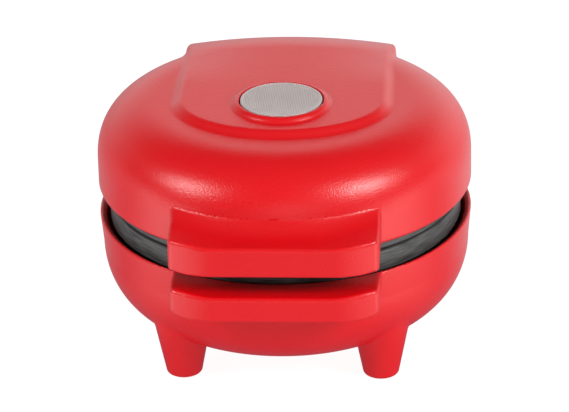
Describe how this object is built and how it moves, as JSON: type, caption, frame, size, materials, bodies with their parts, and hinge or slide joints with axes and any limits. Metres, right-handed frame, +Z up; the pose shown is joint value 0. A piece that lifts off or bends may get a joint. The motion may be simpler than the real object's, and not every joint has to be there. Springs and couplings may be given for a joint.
{
  "type": "mini waffle maker",
  "caption": "Small round countertop waffle maker on tapered feet: hinged dome lid with a raised lamp panel, scooped front handles and dark gridded plates.",
  "frame": {"origin": "floor level under the middle of the bounding box, between the left and right feet", "axes": "+Z up, -Y towards the handles at the front, +X to the right seen from the front"},
  "size_m": [0.126, 0.1512, 0.0895],
  "materials": {
    "red_plastic": "satin, fine moulded grain",
    "plate_coating": "dark non-stick coating, satin",
    "element_sheath": "heat-dulled tube",
    "steel": "plain sheet and plated screws",
    "lens_plastic": "smoky translucent with a fine hatch",
    "black_rubber": "matte",
    "ceramic": "off-white unglazed ceramic",
    "brown_resin": "moulded resin",
    "neon_glass": "small neon bulb",
    "glass_fibre": "braided sleeve"
  },
  "bodies": {
    "base": {"base_shell": "red_plastic", "base_plate": "plate_coating", "base_heater": "element_sheath", "base_reflector": "steel", "base_screw_1": "steel", "base_screw_2": "steel", "base_screw_3": "steel", "base_screw_4": "steel", "foot_pad_1": "black_rubber", "foot_pad_2": "black_rubber", "foot_pad_3": "black_rubber", "foot_pad_4": "black_rubber", "thermostat": "brown_resin", "thermostat_bracket": "steel", "thermostat_screw_1": "steel", "thermostat_screw_2": "steel", "thermal_fuse": "steel", "fuse_sleeve": "glass_fibre", "fuse_clip": "steel", "fuse_clip_screw": "steel", "cord_gland": "black_rubber", "cord_clamp": "brown_resin", "cord_clamp_screw_1": "steel", "cord_clamp_screw_2": "steel", "terminal_block": "ceramic", "hinge_pin": "steel", "hinge_cap_left": "red_plastic", "hinge_cap_right": "red_plastic"},
    "lid": {"lid_shell": "red_plastic", "lid_plate": "plate_coating", "lid_heater": "element_sheath", "lid_reflector": "steel", "lid_screw_1": "steel", "lid_screw_2": "steel", "lamp_lens": "lens_plastic", "lamp_holder": "ceramic", "indicator_lamp": "neon_glass"}
  },
  "joints": [
    {"name": "lid_hinge", "type": "hinge", "parent": "base", "child": "lid", "pos_m": [0, 0.0686, 0.0513], "axis": [-1, 0, 0], "range_deg": [0, 100]}
  ]
}
